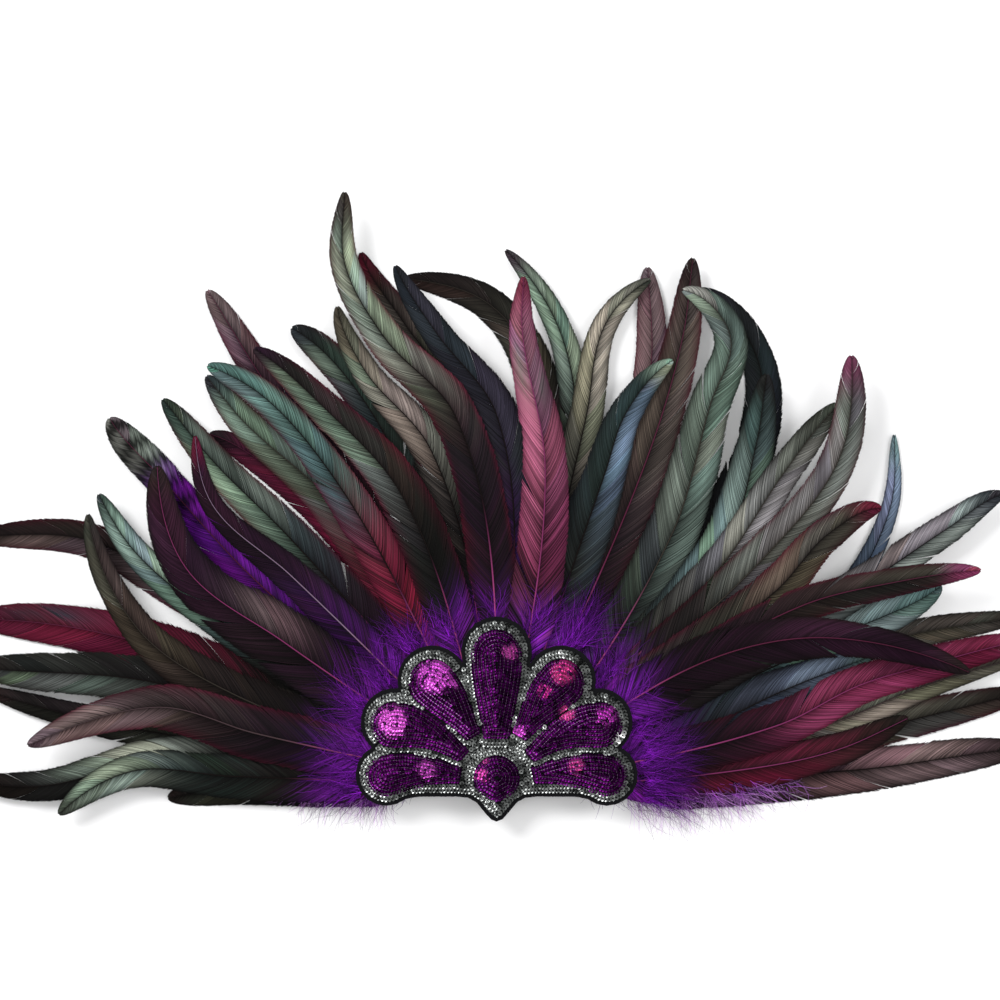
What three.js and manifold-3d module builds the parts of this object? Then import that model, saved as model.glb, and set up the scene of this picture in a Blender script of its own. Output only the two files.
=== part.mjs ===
// Carnival feather headdress: a fan of dyed coque feathers behind a sequinned palmette.
// Millimetres, +Z up. The piece lies flat on its back and the fan opens towards +Y.
// The origin is the fan centre, on the flat back face of the backing pad.
import * as THREE from "three";
import Module from "manifold-3d";

const wasm = await Module();
wasm.setup();

// Rows of a table as objects with named columns
const tableOf = (columns, rows) =>
  rows.map((row) => Object.fromEntries(row.map((value, i) => [columns[i], value])));

// Backing pad: a half disc of felt with a raised core that the quills end against
const PAD_RADIUS = 66;
const PAD_THICKNESS = 2;
const PAD_LOWER_EDGE = -4.5;
const CORE_RADIUS = 26.6;

// Feathers
const ROOT_RADIUS = 27;
const QUILL_WIDTH = 1.4;
const RACHIS_THICKNESS = 0.7;
const VANE_EDGE_THICKNESS = 0.4;
const TIP_WIDTH = 1.2;
const SECTIONS = 11;
const SPINE_STEPS = 40;
const LAY_CLEARANCE = 0.7;

// Stacking of the feathers: the pitch of the layers near the roots and far out on the fan
const LAYER_PITCH_ROOT = 1.05;
const LAYER_PITCH_OUTER = 2.4;
const PITCH_GROWS_FROM = 100;
const PITCH_GROWS_TO = 240;
const FIRST_LAYER_ON_PAD = 2.3;
const FIRST_LAYER_OUTER = 0.3;
const PAD_CLEARED_FROM = 72;
const PAD_CLEARED_TO = 220;

// Sequinned palmette
const SEAT_GAP = 0.3;
const FELT_THICKNESS = 2;
const TRIM_THICKNESS = 1.1;
const PETAL_THICKNESS = 1.7;
const GEM_THICKNESS = 2.2;
const EDGE_INSET = 0.9;
const FELT_MARGIN = 2.3;
const PALMETTE_X = -2;
const TRIM_TO_PETAL_GAP = 0.5;

// Lobes of the palmette on its right half, from the top round to the lowest
const LOBES = [
  { x: 0, y: 80, radius: 21.3 },
  { x: 38.5, y: 63, radius: 21 },
  { x: 61, y: 38, radius: 20.4 },
  { x: 66, y: 6.5, radius: 18.5 },
];
const LOWEST_LOBE_END = -128;

// Lower edge of the palmette on its right half, from the lowest lobe to the middle point
const LOWER_EDGE = [
  [50, -7], [45, -6.5], [24, -6.5], [17, -7.2], [12, -10], [8, -15], [3.4, -20.2], [0, -21.4],
];

// Petals: pointed end, bend, round end, half width at the pointed end, radius of the round end
const PETALS = tableOf(["name", "mirror", "point", "bend", "round", "half", "radius"], [
  ["petal_top", false, [0, 28.5], [0, 52], [0, 78.3], 6.8, 15.2],
  ["petal_upper", true, [13.5, 29.5], [25, 48], [38.5, 61.5], 3.8, 14.2],
  ["petal_mid", true, [19.5, 17.5], [41, 37], [62, 36.5], 3.4, 13.4],
  ["petal_low", true, [21.5, 6.5], [46, 11.5], [66, 6], 4, 12.2],
]);
const GEM = { x: 0, y: 4.5, radius: 13.6, pointY: -10.8 };

// Feathers from the back of the fan to the front. root: angle at the fan centre;
// via and tip: points on the rachis; head: direction at the tip; width: across the vane;
// hold: the share of the length from which the vane closes towards its tip.
const FEATHERS = tableOf(["name", "root", "via", "tip", "head", "width", "hold", "colour"], [
  ["left_01", 182, [[-144, -1]], [-201, -9], 190, 22, 0.6, 0x2f2a2a],
  ["left_09", 147, [[-198, 120], [-249, 147]], [-318, 149], 180, 22, 0.7, 0x35302f],
  ["left_07", 160, [[-170, 66], [-228, 88]], [-320, 99], 181, 27, 0.7, 0x5a1f2d],
  ["left_06", 170, [[-234, 36]], [-314, 58], 160, 18, 0.6, 0x34312e],
  ["left_02", 176, [[-204, 16], [-276, -1]], [-320, 3], 166, 21, 0.7, 0x2c2626],
  ["right_12", -2, [[216, 8]], [318, 21], 4, 24, 0.7, 0x3a3833],
  ["right_07", 20, [[180, 70], [255, 91]], [317, 102], 15, 18, 0.7, 0x55524a],
  ["right_11", 6, [[190, 24], [255, 40]], [318, 56], 17, 22, 0.7, 0x45413a],
  ["right_14", 8, [[198, 36], [250, 57]], [316, 77], 15, 20, 0.45, 0x6a6055],
  ["right_03", 27, [[200, 105], [235, 165]], [238, 211], 90, 15, 0.45, 0x6a8690],
  ["left_25", 84, [[22, 245], [-6, 289]], [-58, 305], 172, 24, 0.6, 0x352f2e],
  ["mid_04", 70, [[90, 243]], [89, 312], 93, 20, 0.75, 0x6d5560],
  ["mid_07", 50, [[150, 190], [156, 255]], [118, 298], 165, 23, 0.6, 0x5b6660],
  ["left_15", 120, [[-90, 147], [-141, 192]], [-176, 211], 165, 20, 0.7, 0x2d2430],
  ["left_12", 142, [[-150, 125], [-204, 184]], [-236, 221], 120, 22, 0.85, 0x5a2a72],
  ["left_05", 167, [[-210, 62]], [-318, 71], 172, 26, 0.7, 0x3a3834],
  ["right_06", 21, [[212, 93]], [266, 120], 40, 25, 0.7, 0x5f7f7f],
  ["right_13", 0, [[156, 10], [204, 21]], [246, 40], 25, 22, 0.6, 0x4c2630],
  ["right_10", 12, [[114, 30], [174, 58]], [223, 77], 20, 27, 0.55, 0x4a5360],
  ["mid_02", 78, [[46, 205], [36, 273]], [3, 322], 135, 19, 0.5, 0x39413a],
  ["left_23", 90, [[-20, 225], [-58, 278]], [-84, 321], 105, 22, 0.6, 0x3e2b33],
  ["left_18", 117, [[-90, 175], [-143, 244]], [-177, 298], 125, 20, 0.75, 0x5b3a48],
  ["left_10", 149, [[-160, 93], [-219, 140]], [-241, 175], 118, 18, 0.7, 0x5b7a78],
  ["left_03", 179, [[-162, 5], [-222, 8]], [-265, -18], 225, 22, 0.6, 0x4f6a60],
  ["right_04", 26, [[222, 123], [267, 153]], [303, 175], 15, 21, 0.75, 0x56606a],
  ["mid_03", 76, [[52, 222], [64, 278]], [91, 304], 28, 19, 0.6, 0x6f7a6c],
  ["left_20", 106, [[-64, 200], [-101, 255]], [-126, 275], 150, 20, 0.85, 0x44524f],
  ["left_17", 121, [[-102, 170], [-155, 219]], [-177, 246], 130, 22, 0.7, 0x7a8878],
  ["left_13", 128, [[-128, 150], [-172, 194]], [-203, 232], 130, 22, 0.65, 0x5f7467],
  ["left_08", 163, [[-165, 57], [-217, 94]], [-247, 163], 97, 21, 0.5, 0x6a675c],
  ["left_04", 169, [[-147, 31], [-204, 47]], [-283, 24], 203, 25, 0.5, 0x6b4a50],
  ["right_09", 9, [[168, 36], [216, 60], [252, 71]], [318, 88], 12, 22, 0.7, 0x7a2a48],
  ["mid_05", 64, [[88, 195], [110, 270]], [116, 317], 82, 25, 0.6, 0x756a68],
  ["mid_08", 72, [[63, 187], [76, 224]], [104, 255], 30, 24, 0.5, 0x6d8794],
  ["mid_06", 48, [[103, 150], [126, 228], [138, 270]], [109, 297], 172, 25, 0.6, 0x6f7b72],
  ["mid_09", 41, [[132, 135], [154, 207]], [160, 247], 80, 28, 0.55, 0x6d9490],
  ["left_21", 98, [[-42, 202], [-82, 250]], [-98, 288], 98, 20, 0.6, 0x8a8372],
  ["left_24", 88, [[-2, 222], [-38, 271]], [-63, 312], 112, 23, 0.5, 0x46434a],
  ["left_16", 119, [[-98, 182], [-143, 234]], [-176, 252], 158, 20, 0.75, 0x52706d],
  ["left_19", 108, [[-60, 176], [-105, 226]], [-148, 262], 150, 23, 0.6, 0x6f7d74],
  ["left_14", 134, [[-126, 126], [-173, 169]], [-183, 210], 95, 18, 0.35, 0x3c2a3c],
  ["mid_10", 43, [[132, 131], [171, 189]], [203, 229], 45, 21, 0.7, 0x7d8078],
  ["right_01", 39, [[160, 139], [203, 197]], [210, 258], 92, 22, 0.75, 0x7c7f78],
  ["right_02", 35, [[165, 117], [196, 151]], [228, 166], -5, 24, 0.65, 0x5a4a4a],
  ["left_22", 92, [[-27, 222], [-69, 268], [-93, 313]], [-93, 356], 90, 22, 0.6, 0x74806f],
  ["right_05", 29, [[180, 108], [235, 122]], [287, 129], 2, 19, 0.65, 0x6b3f50],
  ["mid_01", 79, [[27, 190], [13, 275]], [14, 305], 90, 23, 0.45, 0x9b3a7a],
  ["left_11", 148, [[-130, 86], [-189, 132]], [-205, 192], 92, 30, 0.5, 0x43323c],
  ["right_08", 32, [[132, 78], [195, 89]], [280, 68], -25, 23, 0.45, 0x4a2f40],
]);

const smoothStep = (from, to, value) => {
  const u = Math.min(1, Math.max(0, (value - from) / (to - from)));
  return u * u * (3 - 2 * u);
};

const direction = (degrees) =>
  new THREE.Vector2(Math.cos((degrees * Math.PI) / 180), Math.sin((degrees * Math.PI) / 180));

// One span of a rachis between two points with given tangents
function span(from, to, leave, arrive) {
  const points = [];
  for (let i = 0; i <= SPINE_STEPS; i += 1) {
    const t = i / SPINE_STEPS;
    const point = new THREE.Vector2()
      .addScaledVector(from, 2 * t ** 3 - 3 * t ** 2 + 1)
      .addScaledVector(leave, t ** 3 - 2 * t ** 2 + t)
      .addScaledVector(to, 3 * t ** 2 - 2 * t ** 3)
      .addScaledVector(arrive, t ** 3 - t ** 2);
    points.push(point);
  }
  return points;
}

// The rachis of a feather in plan, as points with their length along it.
// At each point between root and tip it heads halfway between the chords that meet there.
function rachis(feather) {
  const start = direction(feather.root).multiplyScalar(ROOT_RADIUS);
  const knots = [start].concat(feather.via.concat([feather.tip]).map((point) => new THREE.Vector2(...point)));
  const chords = knots.slice(1).map((knot, i) => knot.clone().sub(knots[i]));
  const headings = [direction(feather.root)];
  for (let i = 1; i < chords.length; i += 1) {
    const before = chords[i - 1].clone().normalize();
    const after = chords[i].clone().normalize();
    headings.push(before.add(after).normalize());
  }
  headings.push(direction(feather.head));
  const points = [start];
  chords.forEach((chord, i) => {
    const leave = headings[i].clone().multiplyScalar(chord.length());
    const arrive = headings[i + 1].clone().multiplyScalar(chord.length());
    points.push(...span(knots[i], knots[i + 1], leave, arrive).slice(1));
  });
  const lengths = [0];
  for (let i = 1; i < points.length; i += 1) {
    lengths.push(lengths[i - 1] + points[i].distanceTo(points[i - 1]));
  }
  return { points, lengths, total: lengths[lengths.length - 1] };
}

function pointAlong(line, share) {
  const wanted = share * line.total;
  let i = 1;
  while (i < line.lengths.length - 1 && line.lengths[i] < wanted) i += 1;
  const part = (wanted - line.lengths[i - 1]) / (line.lengths[i] - line.lengths[i - 1]);
  return line.points[i - 1].clone().lerp(line.points[i], part);
}

// Share of the vane width at a share of the length: bare quill, broad lower vane, rounded tip
function vaneShare(share, hold) {
  const open = smoothStep(0.06, 0.3, share);
  const fuller = 1 + 0.35 * (1 - smoothStep(0.45, 0.85, share));
  const close = Math.max(0, (share - hold) / (1 - hold));
  return open * fuller * Math.sqrt(Math.max(0, 1 - close ** 2.6));
}

const widthAt = (feather, share) =>
  share >= 1 ? TIP_WIDTH : Math.max(QUILL_WIDTH, feather.width * vaneShare(share, feather.hold));

// Feathers are laid one after another, each on top of those it crosses
function layFeathers(feathers) {
  const laid = [];
  for (const feather of feathers) {
    const line = rachis(feather);
    const dots = [];
    for (let i = 0; i <= 2 * SPINE_STEPS; i += 1) {
      const share = i / (2 * SPINE_STEPS);
      dots.push({ at: pointAlong(line, share), half: widthAt(feather, share) / 2 });
    }
    let layer = 0;
    for (const other of laid) {
      const crosses = dots.some((a) =>
        other.dots.some((b) => a.at.distanceTo(b.at) < a.half + b.half + LAY_CLEARANCE));
      if (crosses) layer = Math.max(layer, other.layer + 1);
    }
    laid.push({ feather, line, dots, layer });
  }
  return laid;
}

// Height of the underside of a layer at a distance from the fan centre
function layerHeight(layer, radius) {
  const away = smoothStep(PAD_CLEARED_FROM, PAD_CLEARED_TO, radius);
  const spread = smoothStep(PITCH_GROWS_FROM, PITCH_GROWS_TO, radius);
  const first = FIRST_LAYER_ON_PAD + (FIRST_LAYER_OUTER - FIRST_LAYER_ON_PAD) * away;
  const pitch = LAYER_PITCH_ROOT + (LAYER_PITCH_OUTER - LAYER_PITCH_ROOT) * spread;
  return first + layer * pitch;
}

function geometryOf(vertices, triangles) {
  const geometry = new THREE.BufferGeometry();
  geometry.setAttribute("position", new THREE.Float32BufferAttribute(vertices.flat(), 3));
  geometry.setIndex(triangles.flat());
  return geometry;
}

// A feather: six-sided sections along the rachis, thickest over the rachis
function featherSolid({ feather, line, layer }) {
  const vertices = [];
  const triangles = [];
  const middle = RACHIS_THICKNESS / 2;
  const edge = VANE_EDGE_THICKNESS / 2;
  for (let i = 0; i < SECTIONS; i += 1) {
    const share = Math.sin((0.5 * Math.PI * i) / (SECTIONS - 1)) ** 1.05;
    const at = pointAlong(line, share);
    const ahead = pointAlong(line, Math.min(1, share + 0.004));
    const behind = pointAlong(line, Math.max(0, share - 0.004));
    const forward = ahead.sub(behind).normalize();
    const half = widthAt(feather, share) / 2;
    const place = (side, lift) => {
      const x = at.x - forward.y * side * half;
      const y = at.y + forward.x * side * half;
      vertices.push([x, y, layerHeight(layer, Math.hypot(x, y)) + middle + lift]);
    };
    place(1, edge);
    place(1, -edge);
    place(0, -middle);
    place(-1, -edge);
    place(-1, edge);
    place(0, middle);
  }
  for (let i = 0; i + 1 < SECTIONS; i += 1) {
    for (let k = 0; k < 6; k += 1) {
      const a = 6 * i + k;
      const b = 6 * i + ((k + 1) % 6);
      triangles.push([a, b + 6, b], [a, a + 6, b + 6]);
    }
  }
  const last = 6 * (SECTIONS - 1);
  triangles.push([0, 2, 5], [0, 1, 2], [5, 3, 4], [5, 2, 3]);
  triangles.push([last, last + 5, last + 2], [last, last + 2, last + 1]);
  triangles.push([last + 5, last + 4, last + 3], [last + 5, last + 3, last + 2]);
  return geometryOf(vertices, triangles);
}

function arc(x, y, radius, from, to, steps) {
  const points = [];
  for (let i = 0; i <= steps; i += 1) {
    const angle = ((from + ((to - from) * i) / steps) * Math.PI) / 180;
    points.push([x + radius * Math.cos(angle), y + radius * Math.sin(angle)]);
  }
  return points;
}

// Outer crossing of two neighbouring lobes, the second clockwise from the first
function crossing(first, second) {
  const dx = second.x - first.x;
  const dy = second.y - first.y;
  const apart = Math.hypot(dx, dy);
  const along = (first.radius ** 2 - second.radius ** 2 + apart ** 2) / (2 * apart);
  const out = Math.sqrt(Math.max(0, first.radius ** 2 - along ** 2));
  return [
    first.x + (dx * along - dy * out) / apart,
    first.y + (dy * along + dx * out) / apart,
  ];
}

const angleFrom = (lobe, point) => (Math.atan2(point[1] - lobe.y, point[0] - lobe.x) * 180) / Math.PI;

// Outline of the palmette, counter-clockwise
function palmetteOutline() {
  const right = [];
  LOBES.forEach((lobe, i) => {
    const start = i === 0 ? 90 : angleFrom(lobe, crossing(LOBES[i - 1], lobe));
    const end = i === LOBES.length - 1 ? LOWEST_LOBE_END : angleFrom(lobe, crossing(lobe, LOBES[i + 1]));
    const points = arc(lobe.x, lobe.y, lobe.radius, start, end, i === 0 ? 6 : 10);
    right.push(...(i === 0 ? points : points.slice(1)));
  });
  right.push(...LOWER_EDGE);
  const left = right.slice(1, -1).map(([x, y]) => [-x, y]);
  return left.concat(right.reverse());
}

// Moves each point of a counter-clockwise outline inwards by a distance
function inset(outline, distance) {
  return outline.map((point, i) => {
    const before = outline[(i + outline.length - 1) % outline.length];
    const after = outline[(i + 1) % outline.length];
    const one = new THREE.Vector2(point[0] - before[0], point[1] - before[1]).normalize();
    const two = new THREE.Vector2(after[0] - point[0], after[1] - point[1]).normalize();
    const normal = new THREE.Vector2(-one.y - two.y, one.x + two.x).normalize();
    const stretch = 1 / Math.max(0.6, normal.dot(new THREE.Vector2(-one.y, one.x)));
    return [point[0] + normal.x * distance * stretch, point[1] + normal.y * distance * stretch];
  });
}

// A petal: a tapered stroke along a bent axis with a round end, counter-clockwise
function petalOutline(petal) {
  const [px, py] = petal.point;
  const [bx, by] = petal.bend;
  const [rx, ry] = petal.round;
  const steps = 7;
  const one = [];
  const two = [];
  for (let i = 0; i <= steps; i += 1) {
    const t = i / steps;
    const x = (1 - t) ** 2 * px + 2 * t * (1 - t) * bx + t ** 2 * rx;
    const y = (1 - t) ** 2 * py + 2 * t * (1 - t) * by + t ** 2 * ry;
    const tangent = new THREE.Vector2(
      2 * (1 - t) * (bx - px) + 2 * t * (rx - bx),
      2 * (1 - t) * (by - py) + 2 * t * (ry - by),
    ).normalize();
    const half = petal.half + (petal.radius - petal.half) * smoothStep(-0.25, 1, t);
    one.push([x + tangent.y * half, y - tangent.x * half]);
    two.push([x - tangent.y * half, y + tangent.x * half]);
  }
  const heading = (Math.atan2(ry - by, rx - bx) * 180) / Math.PI;
  const round = arc(rx, ry, petal.radius, heading - 90, heading + 90, 10).slice(1, -1);
  return one.concat(round, two.reverse());
}

// The drop in the middle: a circle drawn down to a point, counter-clockwise
function gemOutline() {
  const points = arc(GEM.x, GEM.y, GEM.radius, -42, 222, 28);
  return points.concat([[-1.4, GEM.pointY + 1.6], [0, GEM.pointY], [1.4, GEM.pointY + 1.6]]);
}

const mirrored = (outline) => outline.map(([x, y]) => [-x, y]).reverse();

const placed = (outline) => outline.map(([x, y]) => [x + PALMETTE_X, y]);

// A flat plate whose top edge is drawn in by a bevel
function plate(outline, bottom, top, bevel) {
  const rings = [
    { points: outline, z: bottom },
    { points: outline, z: top - Math.min(0.6 * (top - bottom), bevel) },
    { points: bevel > 0 ? inset(outline, bevel) : outline, z: top },
  ];
  const used = bevel > 0 ? rings : [rings[0], rings[2]];
  const count = outline.length;
  const vertices = used.flatMap((ring) => ring.points.map(([x, y]) => [x, y, ring.z]));
  const triangles = [];
  for (let r = 0; r + 1 < used.length; r += 1) {
    for (let i = 0; i < count; i += 1) {
      const a = r * count + i;
      const b = r * count + ((i + 1) % count);
      triangles.push([a, b, b + count], [a, b + count, a + count]);
    }
  }
  const cap = (ring) => {
    const corners = ring.points.map((point) => new THREE.Vector2(...point));
    return THREE.ShapeUtils.triangulateShape(corners, []);
  };
  for (const [a, b, c] of cap(used[0])) triangles.push([c, b, a]);
  const shift = (used.length - 1) * count;
  for (const [a, b, c] of cap(used[used.length - 1])) triangles.push([a + shift, b + shift, c + shift]);
  return geometryOf(vertices, triangles);
}

function solidOf(geometry) {
  return new wasm.Manifold(new wasm.Mesh({
    numProp: 3,
    vertProperties: new Float32Array(geometry.getAttribute("position").array),
    triVerts: new Uint32Array(geometry.getIndex().array),
  }));
}

function geometryFrom(solid) {
  const mesh = solid.getMesh();
  const geometry = new THREE.BufferGeometry();
  geometry.setAttribute("position", new THREE.Float32BufferAttribute(Array.from(mesh.vertProperties), 3));
  geometry.setIndex(Array.from(mesh.triVerts));
  return geometry;
}

// A half disc cut off at the lower edge of the pad, counter-clockwise
function halfDisc(radius, steps) {
  const dip = (Math.asin(PAD_LOWER_EDGE / radius) * 180) / Math.PI;
  return arc(0, 0, radius, dip, 180 - dip, steps);
}

const group = new THREE.Group();

function addPiece(name, geometry, colour, roughness, metalness) {
  const material = new THREE.MeshStandardMaterial({ color: colour, roughness, metalness });
  material.name = name;
  const mesh = new THREE.Mesh(geometry, material);
  mesh.name = name;
  group.add(mesh);
}

const laid = layFeathers(FEATHERS);
const topLayer = Math.max(...laid.map((item) => item.layer));
const feltBottom = layerHeight(topLayer, PAD_CLEARED_FROM) + RACHIS_THICKNESS + SEAT_GAP;
const feltTop = feltBottom + FELT_THICKNESS;
const sequinBottom = feltTop + SEAT_GAP;

const padPlate = solidOf(plate(halfDisc(PAD_RADIUS, 40), 0, PAD_THICKNESS, 0));
const core = solidOf(plate(halfDisc(CORE_RADIUS, 24), 0.5, feltBottom - SEAT_GAP, 0));
addPiece("back_pad", geometryFrom(padPlate.add(core)), 0x17151a, 0.95, 0);

for (const item of laid) {
  addPiece(`feather_${item.feather.name}`, featherSolid(item), item.feather.colour, 0.55, 0);
}

const palmette = placed(palmetteOutline());
const gem = placed(gemOutline());
addPiece("applique_felt", plate(palmette, feltBottom, feltTop, 0.6), 0x131215, 0.95, 0);

const petals = [];
for (const petal of PETALS) {
  const outline = petalOutline(petal);
  if (petal.mirror) {
    petals.push({ name: `${petal.name}_right`, outline: placed(outline) });
    petals.push({ name: `${petal.name}_left`, outline: placed(mirrored(outline)) });
  } else {
    petals.push({ name: petal.name, outline: placed(outline) });
  }
}

let trim = solidOf(plate(inset(palmette, FELT_MARGIN), sequinBottom, sequinBottom + TRIM_THICKNESS, 0));
for (const outline of petals.map((petal) => petal.outline).concat([gem])) {
  const opening = plate(inset(outline, -TRIM_TO_PETAL_GAP), sequinBottom - 1, sequinBottom + 5, 0);
  trim = trim.subtract(solidOf(opening));
}
addPiece("silver_trim", geometryFrom(trim), 0xb9bcc2, 0.3, 0.9);

for (const petal of petals) {
  const geometry = plate(petal.outline, sequinBottom, sequinBottom + PETAL_THICKNESS, EDGE_INSET);
  addPiece(petal.name, geometry, 0x5a0f6a, 0.3, 0.8);
}
const gemPlate = plate(gem, sequinBottom, sequinBottom + GEM_THICKNESS, EDGE_INSET);
addPiece("gem", gemPlate, 0x6a0f5a, 0.3, 0.8);

export default group;
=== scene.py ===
# Carnival feather headdress lying on its back, seen from straight above.
import math

import bmesh
import bpy
import numpy as np
from mathutils.geometry import tessellate_polygon
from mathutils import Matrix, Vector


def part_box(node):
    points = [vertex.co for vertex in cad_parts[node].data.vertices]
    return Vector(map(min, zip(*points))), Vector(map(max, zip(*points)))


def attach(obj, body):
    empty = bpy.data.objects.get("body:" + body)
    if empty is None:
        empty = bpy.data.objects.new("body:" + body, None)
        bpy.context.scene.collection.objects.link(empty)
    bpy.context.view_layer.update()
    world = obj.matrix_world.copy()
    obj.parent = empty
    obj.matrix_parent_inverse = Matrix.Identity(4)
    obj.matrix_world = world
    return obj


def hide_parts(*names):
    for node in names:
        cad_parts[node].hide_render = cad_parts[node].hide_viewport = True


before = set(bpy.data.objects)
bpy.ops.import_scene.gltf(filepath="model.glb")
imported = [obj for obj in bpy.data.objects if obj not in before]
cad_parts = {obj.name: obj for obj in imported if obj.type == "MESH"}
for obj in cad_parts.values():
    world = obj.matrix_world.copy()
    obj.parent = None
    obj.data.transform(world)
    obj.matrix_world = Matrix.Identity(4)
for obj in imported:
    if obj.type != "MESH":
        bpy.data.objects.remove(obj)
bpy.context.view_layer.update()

MM = 0.001

# Linear colours of the dyed feathers, and of the painted sheen on them
PALETTE = {
    "dark": (0.0055, 0.0045, 0.0045),
    "umber": (0.011, 0.007, 0.0065),
    "olive": (0.023, 0.024, 0.019),
    "moss": (0.085, 0.108, 0.090),
    "green": (0.0095, 0.0165, 0.0145),
    "sage": (0.185, 0.225, 0.180),
    "teal": (0.075, 0.130, 0.122),
    "aqua": (0.180, 0.270, 0.250),
    "blue": (0.095, 0.125, 0.185),
    "slate": (0.0125, 0.013, 0.018),
    "grey": (0.150, 0.155, 0.150),
    "bronze": (0.052, 0.044, 0.035),
    "beige": (0.235, 0.220, 0.175),
    "mauve": (0.105, 0.066, 0.072),
    "wine": (0.080, 0.006, 0.020),
    "claret": (0.150, 0.008, 0.030),
    "magenta": (0.150, 0.024, 0.066),
    "pink": (0.330, 0.050, 0.180),
    "rose": (0.250, 0.070, 0.130),
    "plum": (0.0145, 0.0045, 0.0115),
    "purple": (0.052, 0.004, 0.100),
    "violet": (0.090, 0.005, 0.165),
    "lilac": (0.360, 0.240, 0.360),
}

# Feathers from the back of the fan to the front, in millimetres and degrees.
# hold is the share of the length from which the vane closes towards its tip.
COLUMNS = "name root via tip head width hold".split()
FEATHERS = [
    ("left_01", 182, [(-144, -1)], (-201, -9), 190, 22, 0.6),
    ("left_09", 147, [(-198, 120), (-249, 147)], (-318, 149), 180, 22, 0.7),
    ("left_07", 160, [(-170, 66), (-228, 88)], (-320, 99), 181, 27, 0.7),
    ("left_06", 170, [(-234, 36)], (-314, 58), 160, 18, 0.6),
    ("left_02", 176, [(-204, 16), (-276, -1)], (-320, 3), 166, 21, 0.7),
    ("right_12", -2, [(216, 8)], (318, 21), 4, 24, 0.7),
    ("right_07", 20, [(180, 70), (255, 91)], (317, 102), 15, 18, 0.7),
    ("right_11", 6, [(190, 24), (255, 40)], (318, 56), 17, 22, 0.7),
    ("right_14", 8, [(198, 36), (250, 57)], (316, 77), 15, 20, 0.45),
    ("right_03", 27, [(200, 105), (235, 165)], (238, 211), 90, 15, 0.45),
    ("left_25", 84, [(22, 245), (-6, 289)], (-58, 305), 172, 24, 0.6),
    ("mid_04", 70, [(90, 243)], (89, 312), 93, 20, 0.75),
    ("mid_07", 50, [(150, 190), (156, 255)], (118, 298), 165, 23, 0.6),
    ("left_15", 120, [(-90, 147), (-141, 192)], (-176, 211), 165, 20, 0.7),
    ("left_12", 142, [(-150, 125), (-204, 184)], (-236, 221), 120, 22, 0.85),
    ("left_05", 167, [(-210, 62)], (-318, 71), 172, 26, 0.7),
    ("right_06", 21, [(212, 93)], (266, 120), 40, 25, 0.7),
    ("right_13", 0, [(156, 10), (204, 21)], (246, 40), 25, 22, 0.6),
    ("right_10", 12, [(114, 30), (174, 58)], (223, 77), 20, 27, 0.55),
    ("mid_02", 78, [(46, 205), (36, 273)], (3, 322), 135, 19, 0.5),
    ("left_23", 90, [(-20, 225), (-58, 278)], (-84, 321), 105, 22, 0.6),
    ("left_18", 117, [(-90, 175), (-143, 244)], (-177, 298), 125, 20, 0.75),
    ("left_10", 149, [(-160, 93), (-219, 140)], (-241, 175), 118, 18, 0.7),
    ("left_03", 179, [(-162, 5), (-222, 8)], (-265, -18), 225, 22, 0.6),
    ("right_04", 26, [(222, 123), (267, 153)], (303, 175), 15, 21, 0.75),
    ("mid_03", 76, [(52, 222), (64, 278)], (91, 304), 28, 19, 0.6),
    ("left_20", 106, [(-64, 200), (-101, 255)], (-126, 275), 150, 20, 0.85),
    ("left_17", 121, [(-102, 170), (-155, 219)], (-177, 246), 130, 22, 0.7),
    ("left_13", 128, [(-128, 150), (-172, 194)], (-203, 232), 130, 22, 0.65),
    ("left_08", 163, [(-165, 57), (-217, 94)], (-247, 163), 97, 21, 0.5),
    ("left_04", 169, [(-147, 31), (-204, 47)], (-283, 24), 203, 25, 0.5),
    ("right_09", 9, [(168, 36), (216, 60), (252, 71)], (318, 88), 12, 22, 0.7),
    ("mid_05", 64, [(88, 195), (110, 270)], (116, 317), 82, 25, 0.6),
    ("mid_08", 72, [(63, 187), (76, 224)], (104, 255), 30, 24, 0.5),
    ("mid_06", 48, [(103, 150), (126, 228), (138, 270)], (109, 297), 172, 25, 0.6),
    ("mid_09", 41, [(132, 135), (154, 207)], (160, 247), 80, 28, 0.55),
    ("left_21", 98, [(-42, 202), (-82, 250)], (-98, 288), 98, 20, 0.6),
    ("left_24", 88, [(-2, 222), (-38, 271)], (-63, 312), 112, 23, 0.5),
    ("left_16", 119, [(-98, 182), (-143, 234)], (-176, 252), 158, 20, 0.75),
    ("left_19", 108, [(-60, 176), (-105, 226)], (-148, 262), 150, 23, 0.6),
    ("left_14", 134, [(-126, 126), (-173, 169)], (-183, 210), 95, 18, 0.35),
    ("mid_10", 43, [(132, 131), (171, 189)], (203, 229), 45, 21, 0.7),
    ("right_01", 39, [(160, 139), (203, 197)], (210, 258), 92, 22, 0.75),
    ("right_02", 35, [(165, 117), (196, 151)], (228, 166), -5, 24, 0.65),
    ("left_22", 92, [(-27, 222), (-69, 268), (-93, 313)], (-93, 356), 90, 22, 0.6),
    ("right_05", 29, [(180, 108), (235, 122)], (287, 129), 2, 19, 0.65),
    ("mid_01", 79, [(27, 190), (13, 275)], (14, 305), 90, 23, 0.45),
    ("left_11", 148, [(-130, 86), (-189, 132)], (-205, 192), 92, 30, 0.5),
    ("right_08", 32, [(132, 78), (195, 89)], (280, 68), -25, 23, 0.45),
]
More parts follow.
